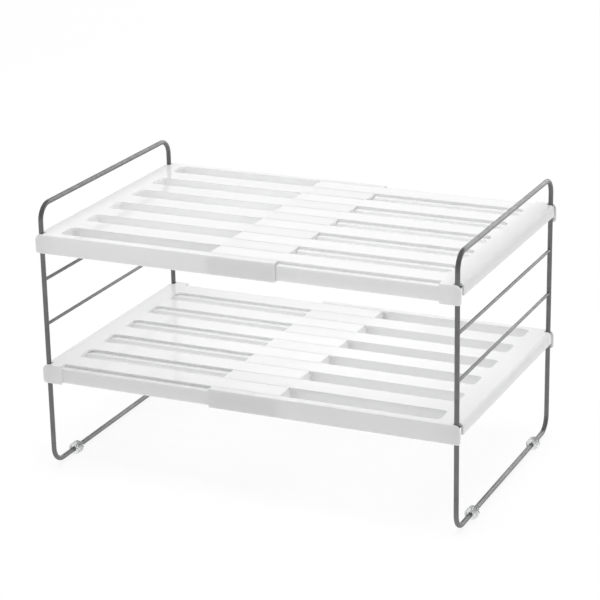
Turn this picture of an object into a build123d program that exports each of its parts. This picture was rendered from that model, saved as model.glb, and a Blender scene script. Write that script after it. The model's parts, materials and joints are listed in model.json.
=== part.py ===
from build123d import *
import os

# Tiered shelf riser: two extending plastic shelves, hooked on the rungs of two
# wire side frames. +X runs along the shelves, +Y to the back, +Z up, and the
# origin is on the floor in the middle of the footprint. All sizes in mm.

# Side frames
frame_spacing = 400.0     # left wire plane to right wire plane
frame_depth = 250.0       # front upright to back upright, centre to centre
wire_d = 4.5
rung_d = 3.0
bottom_bar_z = 5.0
top_bar_z = 256.0
bend_r = 15.0
lower_shelf_rung_z = 100.5
upper_shelf_rung_z = 226.2
rung_heights = {
    "lower_shelf": lower_shelf_rung_z,
    "lower_middle": 142.9,
    "upper_middle": 185.7,
    "upper_shelf": upper_shelf_rung_z,
}

# Feet
foot_d = 11.6
foot_length = 8.8
foot_y = 84.5
foot_bore_gap = 0.03
foot_edge_r = 1.0

# Shelves, both alike: an outer panel, and an inner panel that slides in it
shelf_half_depth = 129.5
shelf_end_x = 204.5       # middle of the shelf to the face of its end
outer_tip_x = -34.0       # a panel's free end, when its hooked end is at +X
inner_tip_x = -32.0
slot_end_x = 183.0
slot_corner_r = 5.0
finger_pitch = 44.2
deck_t = 2.5
skirt_t = 1.9
skirt_h = 18.1
slide_gap = 0.3           # between the two panels, and between a hook and its rung
edge_r = 0.9
tip_corner_r = 1.0

# Hooked end of a panel
block_x = 185.0           # where the full-size end of the inner panel starts
notch_x = 197.4           # the notches let the uprights through
notch_y = 121.2
hook_h = 10.8
hook_t = 1.8
hook_r = 4.0
guide_x = 195.5           # inner side of the wall that keeps the hook on its rung
skirt_top_r = 6.0
skirt_bottom_r = 3.0

# Under the deck
rib_t = 1.6
rib_y = 4.0               # from the middle of an outer finger to the outside of its ribs
rib_h = 13.5
web_t = 2.0               # walls under the two sides of an inner finger
ledge_w = 5.9             # ledge on a web, for the edge of the outer finger beside it
ledge_t = 3.0
lip_w = 4.2               # turned-in foot of the outer skirt, under the inner skirt
lip_t = 1.3
tie_t = 3.0               # cross tie that joins the fingers near their tips
tie_top = 13.8
tie_bottom = 16.2

# Worked out from the sizes above
frame_x = frame_spacing / 2
upright_y = frame_depth / 2
wire_r = wire_d / 2
deck_above_rung = rung_d / 2 + slide_gap + deck_t
skirt_inside_y = shelf_half_depth - skirt_t
inner_skirt_y = skirt_inside_y - slide_gap
finger_w = finger_pitch / 2 - slide_gap
slot_w = finger_pitch - finger_w
inner_deck_y = finger_pitch * 2.5 + finger_w / 2
outer_fingers = [finger_pitch * step for step in (-2, -1, 0, 1, 2)]
inner_fingers = [finger_pitch * step for step in (-2.5, -1.5, -0.5, 0.5, 1.5, 2.5)]
LEFT = -1
RIGHT = 1

os.makedirs("parts", exist_ok=True)


def save(piece, label):
    piece.part.label = label
    export_step(piece.part, f"parts/{label}.step")


# ---------------------------------------------------------------- side frames

def side_loop(label, side):
    """One closed loop of wire: floor bar, two uprights and the bar on top."""
    with BuildPart() as loop:
        with BuildLine(Plane.YZ.offset(side * frame_x)) as path:
            FilletPolyline(
                (upright_y, bottom_bar_z),
                (upright_y, top_bar_z),
                (-upright_y, top_bar_z),
                (-upright_y, bottom_bar_z),
                radius=bend_r,
                close=True,
            )
        with BuildSketch(Plane(origin=path.line @ 0, z_dir=path.line % 0)):
            Circle(wire_r)
        sweep(path=path.line)
    save(loop, label)


def rung(label, side, height):
    """A thin bar between the uprights, its ends coped to their round sides."""
    x = side * frame_x
    with BuildPart() as bar:
        with BuildSketch(Plane(origin=(x, -upright_y, height), z_dir=(0, 1, 0))):
            Circle(rung_d / 2)
        extrude(amount=frame_depth)
        with BuildSketch(Plane.XY.offset(height - rung_d)):
            with Locations((x, -upright_y), (x, upright_y)):
                Circle(wire_r)
        extrude(amount=2 * rung_d, mode=Mode.SUBTRACT)
    save(bar, label)


def foot(label, side, y):
    """A soft ring round the floor bar, with a small flat to stand on."""
    x = side * frame_x
    end = Plane(origin=(x, y - foot_length / 2, bottom_bar_z), z_dir=(0, 1, 0))
    with BuildPart() as ring:
        with BuildSketch(end):
            Circle(foot_d / 2)
        extrude(amount=foot_length)
        fillet(ring.edges().filter_by(GeomType.CIRCLE), foot_edge_r)
        with BuildSketch(end):
            Circle(wire_r + foot_bore_gap)
        extrude(amount=foot_length, mode=Mode.SUBTRACT)
        with BuildSketch(Plane.XY):
            with Locations((x, y)):
                Rectangle(2 * foot_d, 2 * foot_length)
        extrude(amount=-foot_d, mode=Mode.SUBTRACT)
    save(ring, label)


# -------------------------------------------------------------------- shelves
# Each panel is drawn on a plane at the top of its deck, with its hooked end at
# +X. The plane is turned half round for the panels that hook on the left frame.
# The helpers below add to the panel that is being built.

def deck_top(side, rung_z):
    return Plane(origin=(0, 0, rung_z + deck_above_rung), x_dir=(side, 0, 0), z_dir=(0, 0, 1))


def side_view(deck, y):
    """Plane of a panel's side view, y in front of its middle: +X along, +Y up."""
    return Plane(origin=deck.from_local_coords((0, -y, 0)), x_dir=deck.x_dir, z_dir=-deck.y_dir)


def block(deck, x_range, y_range, z_range):
    """A rectangular stretch of the panel."""
    with BuildSketch(deck.offset(z_range[0])) as outline:
        with Locations((sum(x_range) / 2, sum(y_range) / 2)):
            Rectangle(x_range[1] - x_range[0], y_range[1] - y_range[0])
    extrude(outline.sketch, amount=z_range[1] - z_range[0])


def block_pair(deck, x_range, y_range, z_range, middle=0.0):
    """The same stretch on both sides of a middle line."""
    near, far = y_range
    block(deck, x_range, (middle + near, middle + far), z_range)
    block(deck, x_range, (middle - far, middle - near), z_range)


def slotted_deck(deck, tip_x, half_width, slot_ys):
    """The comb of fingers, from the panel's free end to the upright notches."""
    mouth_x = tip_x - 2 * slot_corner_r
    with BuildSketch(deck.offset(-deck_t)) as comb:
        with Locations(((tip_x + notch_x) / 2, 0)):
            Rectangle(notch_x - tip_x, 2 * half_width)
        with Locations([((mouth_x + slot_end_x) / 2, y) for y in slot_ys]):
            RectangleRounded(slot_end_x - mouth_x, slot_w, slot_corner_r, mode=Mode.SUBTRACT)
        tips = comb.vertices().group_by(Axis.X)[0].sort_by(Axis.Y)
        fillet(tips[1:-1], tip_corner_r)
    extrude(comb.sketch, amount=deck_t)


def hook_rail(deck):
    """The end of the deck turned down outside the rung, and a guide wall inside it."""
    with BuildSketch(side_view(deck, notch_y)) as profile:
        with BuildLine():
            Polyline(
                (guide_x, 0),
                (shelf_end_x, 0),
                (shelf_end_x, -hook_h),
                (shelf_end_x - hook_t, -hook_h),
                (shelf_end_x - hook_t, -deck_t),
                (guide_x + hook_t, -deck_t),
                (guide_x + hook_t, -hook_h),
                (guide_x, -hook_h),
                close=True,
            )
        make_face()
        fillet(profile.vertices().sort_by_distance((shelf_end_x, 0))[0], hook_r)
    extrude(profile.sketch, amount=-2 * notch_y)


def skirts(deck, start_x):
    """Front and back aprons along the full-size stretch of a panel."""
    for face_y in (shelf_half_depth, -skirt_inside_y):
        with BuildSketch(side_view(deck, face_y)) as profile:
            with Locations(((start_x + shelf_end_x) / 2, -skirt_h / 2)):
                Rectangle(shelf_end_x - start_x, skirt_h)
            fillet(profile.vertices().sort_by_distance((shelf_end_x, 0))[0], skirt_top_r)
            fillet(profile.vertices().sort_by_distance((shelf_end_x, -skirt_h))[0], skirt_bottom_r)
        extrude(profile.sketch, amount=-skirt_t)


def round_skirt_edges(panel):
    """Softens the long outside edges of both skirts, all the way round the end."""
    skirt_faces = panel.faces().filter_by(Axis.Y).group_by(Axis.Y)
    for face in (skirt_faces[0][0], skirt_faces[-1][0]):
        fillet(face.edges().filter_by(Axis.X), edge_r)


def outer_panel(label, side, rung_z):
    """Full-depth panel: five fingers between two rims, and a skirt down each rim."""
    deck = deck_top(side, rung_z)
    whole_x = (outer_tip_x, guide_x + hook_t)
    tie_x = (outer_tip_x, outer_tip_x + tie_t)
    with BuildPart() as panel:
        slotted_deck(deck, outer_tip_x, shelf_half_depth, inner_fingers)
        hook_rail(deck)
        skirts(deck, outer_tip_x)
        lip_y = (skirt_inside_y - lip_w, skirt_inside_y)
        block_pair(deck, (outer_tip_x, guide_x), lip_y, (-skirt_h, lip_t - skirt_h))
        for middle in outer_fingers:
            block_pair(deck, whole_x, (rib_y - rib_t, rib_y), (-rib_h, -deck_t), middle)
            block(deck, tie_x, (middle - rib_y, middle + rib_y), (-tie_bottom, -deck_t))
        block(deck, tie_x, (outer_fingers[0], outer_fingers[-1]), (-tie_bottom, -tie_top))
        block(deck, (block_x, block_x + web_t), (-skirt_inside_y, skirt_inside_y), (-rib_h, -deck_t))
        round_skirt_edges(panel)
    save(panel, label)


def inner_panel(label, side, rung_z):
    """Panel of six fingers, with a full-size end and ledges under the outer fingers."""
    deck = deck_top(side, rung_z)
    slide_x = (inner_tip_x, block_x)
    tie_x = (inner_tip_x, inner_tip_x + tie_t)
    step_z = deck_t + slide_gap
    half_finger = finger_w / 2
    skirt_bottom = skirt_h - lip_t - slide_gap
    with BuildPart() as panel:
        slotted_deck(deck, inner_tip_x, inner_deck_y, outer_fingers)
        hook_rail(deck)
        skirts(deck, block_x)
        block_pair(deck, (block_x, notch_x), (inner_deck_y, shelf_half_depth), (-deck_t, 0))
        block(deck, (block_x, block_x + web_t), (-skirt_inside_y, skirt_inside_y), (-skirt_bottom, -deck_t))
        for middle in inner_fingers:
            block_pair(deck, slide_x, (half_finger - web_t, half_finger), (-rib_h, -deck_t), middle)
            ledge_y = (half_finger, half_finger + ledge_w)
            block_pair(deck, slide_x, ledge_y, (-step_z - ledge_t, -step_z), middle)
            block(deck, tie_x, (middle - half_finger, middle + half_finger), (-tie_bottom, -deck_t))
        block(deck, tie_x, (-inner_skirt_y, inner_skirt_y), (-tie_bottom, -tie_top))
        block_pair(deck, slide_x, (inner_skirt_y - skirt_t, inner_skirt_y), (-skirt_bottom, -step_z))
        round_skirt_edges(panel)
    save(panel, label)


for side_name, side in (("left", LEFT), ("right", RIGHT)):
    side_loop(f"{side_name}_loop", side)
    for rung_name, height in rung_heights.items():
        rung(f"{side_name}_{rung_name}_rung", side, height)
    foot(f"{side_name}_front_foot", side, -foot_y)
    foot(f"{side_name}_back_foot", side, foot_y)

outer_panel("upper_outer_panel", LEFT, upper_shelf_rung_z)
inner_panel("upper_inner_panel", RIGHT, upper_shelf_rung_z)
outer_panel("lower_outer_panel", RIGHT, lower_shelf_rung_z)
inner_panel("lower_inner_panel", LEFT, lower_shelf_rung_z)
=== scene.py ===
import json
from math import cos, radians, sin

import bpy
from mathutils import Matrix, Vector

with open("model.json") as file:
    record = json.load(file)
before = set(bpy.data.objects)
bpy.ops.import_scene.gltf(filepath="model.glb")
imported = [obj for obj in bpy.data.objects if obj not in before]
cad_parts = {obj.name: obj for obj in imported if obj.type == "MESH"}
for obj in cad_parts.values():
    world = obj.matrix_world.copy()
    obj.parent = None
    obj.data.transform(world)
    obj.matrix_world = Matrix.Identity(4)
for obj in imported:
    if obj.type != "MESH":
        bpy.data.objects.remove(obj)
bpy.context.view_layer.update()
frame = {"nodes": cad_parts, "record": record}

# Tiered shelf riser: white moulded shelves, grey wire side frames and clear
# feet, all on the shapes of the frame. Lengths in metres, angles in degrees.

# Shelf plastic
SHELF_DARK = (0.90, 0.90, 0.905)
SHELF_LIGHT = (0.93, 0.93, 0.93)
SHELF_ROUGHNESS = (0.06, 0.1)
SHELF_SUBSURFACE = 0.6
SHELF_SUBSURFACE_DEPTH = 0.003
SHELF_GRAIN = 0.00001

# Frame wire
WIRE_DARK = (0.155, 0.155, 0.158)
WIRE_LIGHT = (0.19, 0.19, 0.193)
WIRE_ROUGHNESS = (0.33, 0.45)
WIRE_METALLIC = 0.6
WIRE_GRAIN = 0.00002

# Feet
FOOT_DARK = (0.86, 0.87, 0.88)
FOOT_LIGHT = (0.92, 0.93, 0.93)
FOOT_ROUGHNESS = (0.2, 0.3)
FOOT_TRANSMISSION = 0.8
FOOT_IOR = 1.5

# The part of the noise that is spread over a whole range
NOISE_LOW = 0.3
NOISE_HIGH = 0.7

# Camera
CAMERA_AZIMUTH = 24.5165
CAMERA_ELEVATION = 19.041
CAMERA_ROLL = -1.0801
CAMERA_PLACE = (0.79025, -1.73564, 0.80938)
CAMERA_LENS = 130.253
CAMERA_SENSOR = 36
CAMERA_CLIP_END = 20

# Studio
FLOOR_REACH = 6.0
FLOOR_ALBEDO = 0.15
FLOOR_GLOW = 0.86
FLOOR_ROUGHNESS = 0.9
WORLD_STRENGTH = 0.21
OVERHEAD_TARGET = (0, 0, 0.1)
OVERHEAD_SIZE = (2.5, 2.5)

nodes = frame["nodes"]
slot_of = {part["node"]: part["material_slot"] for part in frame["record"]["subparts"]}


# ------------------------------------------------------------------ materials

def new_material(name):
    """An empty node tree with a Principled shader on its output."""
    material = bpy.data.materials.new(name)
    material.use_nodes = True
    tree = material.node_tree
    tree.nodes.clear()
    shader = tree.nodes.new("ShaderNodeBsdfPrincipled")
    output = tree.nodes.new("ShaderNodeOutputMaterial")
    tree.links.new(shader.outputs["BSDF"], output.inputs["Surface"])
    return material, tree, shader


def noise(tree, scale):
    """Noise in the object's own space, so that it moves with the piece."""
    place = tree.nodes.new("ShaderNodeTexCoord")
    texture = tree.nodes.new("ShaderNodeTexNoise")
    texture.inputs["Scale"].default_value = scale
    texture.inputs["Detail"].default_value = 3.0
    tree.links.new(place.outputs["Object"], texture.inputs["Vector"])
    return texture.outputs["Fac"]


def vary_roughness(tree, shader, scale, limits):
    """Spreads the roughness between two limits, by noise."""
    ramp = tree.nodes.new("ShaderNodeMapRange")
    ramp.inputs["From Min"].default_value = NOISE_LOW
    ramp.inputs["From Max"].default_value = NOISE_HIGH
    ramp.inputs["To Min"].default_value = limits[0]
    ramp.inputs["To Max"].default_value = limits[1]
    tree.links.new(noise(tree, scale), ramp.inputs["Value"])
    tree.links.new(ramp.outputs["Result"], shader.inputs["Roughness"])


def vary_colour(tree, shader, scale, dark, light):
    """Mixes two colours, by noise."""
    ramp = tree.nodes.new("ShaderNodeValToRGB")
    ramp.color_ramp.elements[0].position = NOISE_LOW
    ramp.color_ramp.elements[0].color = (*dark, 1)
    ramp.color_ramp.elements[1].position = NOISE_HIGH
    ramp.color_ramp.elements[1].color = (*light, 1)
    tree.links.new(noise(tree, scale), ramp.inputs["Fac"])
    tree.links.new(ramp.outputs["Color"], shader.inputs["Base Color"])


def add_grain(tree, shader, scale, depth):
    """A fine surface grain of the given depth."""
    node = tree.nodes.new("ShaderNodeBump")
    node.inputs["Strength"].default_value = 1.0
    node.inputs["Distance"].default_value = depth
    tree.links.new(noise(tree, scale), node.inputs["Height"])
    tree.links.new(node.outputs["Normal"], shader.inputs["Normal"])


def shelf_material():
    """Smooth white injection-moulded plastic."""
    material, tree, shader = new_material("shelf_plastic")
    vary_colour(tree, shader, 14.0, SHELF_DARK, SHELF_LIGHT)
    vary_roughness(tree, shader, 60.0, SHELF_ROUGHNESS)
    shader.inputs["Subsurface Weight"].default_value = SHELF_SUBSURFACE
    shader.inputs["Subsurface Radius"].default_value = (1.0, 1.0, 1.0)
    shader.inputs["Subsurface Scale"].default_value = SHELF_SUBSURFACE_DEPTH
    add_grain(tree, shader, 900.0, SHELF_GRAIN)
    return material


def wire_material():
    """Grey coated steel wire."""
    material, tree, shader = new_material("frame_wire")
    vary_colour(tree, shader, 90.0, WIRE_DARK, WIRE_LIGHT)
    vary_roughness(tree, shader, 300.0, WIRE_ROUGHNESS)
    shader.inputs["Metallic"].default_value = WIRE_METALLIC
    add_grain(tree, shader, 1500.0, WIRE_GRAIN)
    return material


def foot_material():
    """Clear soft ring."""
    material, tree, shader = new_material("foot_plastic")
    vary_colour(tree, shader, 200.0, FOOT_DARK, FOOT_LIGHT)
    vary_roughness(tree, shader, 400.0, FOOT_ROUGHNESS)
    shader.inputs["Transmission Weight"].default_value = FOOT_TRANSMISSION
    shader.inputs["IOR"].default_value = FOOT_IOR
    return material


made = {
    "shelf_plastic": shelf_material(),
    "frame_wire": wire_material(),
    "foot_plastic": foot_material(),
}
for name, node in nodes.items():
    node.data.materials.clear()
    node.data.materials.append(made[slot_of[name]])


# --------------------------------------------------------------------- studio

def set_camera():
    azimuth = radians(CAMERA_AZIMUTH)
    elevation = radians(CAMERA_ELEVATION)
    roll = radians(CAMERA_ROLL)
    back = Vector((sin(azimuth) * cos(elevation), -cos(azimuth) * cos(elevation), sin(elevation)))
    right = Vector((cos(azimuth), sin(azimuth), 0))
    up = back.cross(right)
    across = right * cos(roll) + up * sin(roll)
    upward = up * cos(roll) - right * sin(roll)
    data = bpy.data.cameras.new("camera")
    data.sensor_width = CAMERA_SENSOR
    data.lens = CAMERA_LENS
    data.clip_end = CAMERA_CLIP_END
    camera = bpy.data.objects.new("camera", data)
    turn = Matrix((across, upward, back)).transposed().to_4x4()
    camera.matrix_world = Matrix.Translation(CAMERA_PLACE) @ turn
    bpy.context.scene.collection.objects.link(camera)
    bpy.context.scene.camera = camera


def area_light(name, place, target, size, power):
    """A rectangle of light that faces the target and is itself out of sight."""
    data = bpy.data.lights.new(name, "AREA")
    data.shape = "RECTANGLE"
    data.size, data.size_y = size
    data.energy = power
    light = bpy.data.objects.new(name, data)
    light.location = place
    light.visible_camera = False
    facing = Vector(target) - Vector(place)
    light.rotation_euler = facing.to_track_quat("-Z", "Y").to_euler()
    bpy.context.scene.collection.objects.link(light)
    return light


def group(name, members):
    collection = bpy.data.collections.new(name)
    for member in members:
        collection.objects.link(member)
    return collection


def lights_only(light, receivers, blockers=None):
    """The light falls on these pieces alone. Blockers, if given, alone shade them from it."""
    light.light_linking.receiver_collection = group(light.name + "_receivers", receivers)
    if blockers:
        light.light_linking.blocker_collection = group(light.name + "_blockers", blockers)


def lay_floor():
    """A level pale sheet that is no part of the object and glows a little."""
    mesh = bpy.data.meshes.new("floor")
    corners = [
        (-FLOOR_REACH, -FLOOR_REACH, 0),
        (FLOOR_REACH, -FLOOR_REACH, 0),
        (FLOOR_REACH, FLOOR_REACH, 0),
        (-FLOOR_REACH, FLOOR_REACH, 0),
    ]
    mesh.from_pydata(corners, [], [(0, 1, 2, 3)])
    sheet = bpy.data.objects.new("floor", mesh)
    bpy.context.scene.collection.objects.link(sheet)
    material, tree, shader = new_material("floor")
    shader.inputs["Base Color"].default_value = (FLOOR_ALBEDO, FLOOR_ALBEDO, FLOOR_ALBEDO, 1)
    shader.inputs["Roughness"].default_value = FLOOR_ROUGHNESS
    shader.inputs["Emission Color"].default_value = (1, 1, 1, 1)
    shader.inputs["Emission Strength"].default_value = FLOOR_GLOW
    mesh.materials.append(material)


def light_overhead(lower_panels, others):
    """Soft light from above. The lower shelf has its own, which the upper one doesn't block."""
    top = area_light("top", (0.2, -0.1, 2.6), OVERHEAD_TARGET, OVERHEAD_SIZE, 60)
    lights_only(top, others)
    lower_top = area_light("lower_top", (0.5, 0.3, 2.6), OVERHEAD_TARGET, OVERHEAD_SIZE, 49)
    lights_only(lower_top, lower_panels, lower_panels)
    for overhead in (top, lower_top):
        overhead.visible_glossy = False


def light_wires(wires):
    """Highlights on the wires, from behind: one high and one low to the right."""
    crest = area_light("crest", (0.1, 3.0, 1.65), (0, 0, 0.2), (2.4, 0.6), 18)
    lights_only(crest, wires)
    sheen = area_light("sheen", (1.4, 2.4, 0.55), (0, 0, 0.15), (2.4, 1.2), 18)
    lights_only(sheen, wires)


def light_upper_slots(upper_panels):
    """Light thrown back up between the shelves, on the walls of the upper slots."""
    bounce = area_light("bounce", (0.0, 0.0, 0.145), (0, 0, 1), (0.38, 0.24), 0.13)
    lights_only(bounce, upper_panels)


def set_world():
    world = bpy.data.worlds.new("studio")
    world.use_nodes = True
    background = world.node_tree.nodes["Background"]
    background.inputs["Color"].default_value = (1, 1, 1, 1)
    background.inputs["Strength"].default_value = WORLD_STRENGTH
    bpy.context.scene.world = world


set_camera()
lay_floor()
lower_panels = [nodes["lower_outer_panel"], nodes["lower_inner_panel"]]
upper_panels = [nodes["upper_outer_panel"], nodes["upper_inner_panel"]]
meshes = [piece for piece in bpy.data.objects if piece.type == "MESH"]
others = [piece for piece in meshes if piece not in lower_panels]
wires = [node for name, node in nodes.items() if slot_of[name] == "frame_wire"]
light_overhead(lower_panels, others)
area_light("front_left", (-1.5, -1.8, 0.9), (0, 0, 0.15), (1.2, 1.2), 2)
light_wires(wires)
area_light("backdrop", (-0.6, 3.0, 1.1), (0, 0, 0.2), (6.5, 2.4), 30)
light_upper_slots(upper_panels)
set_world()
bpy.context.scene.view_settings.view_transform = "Standard"
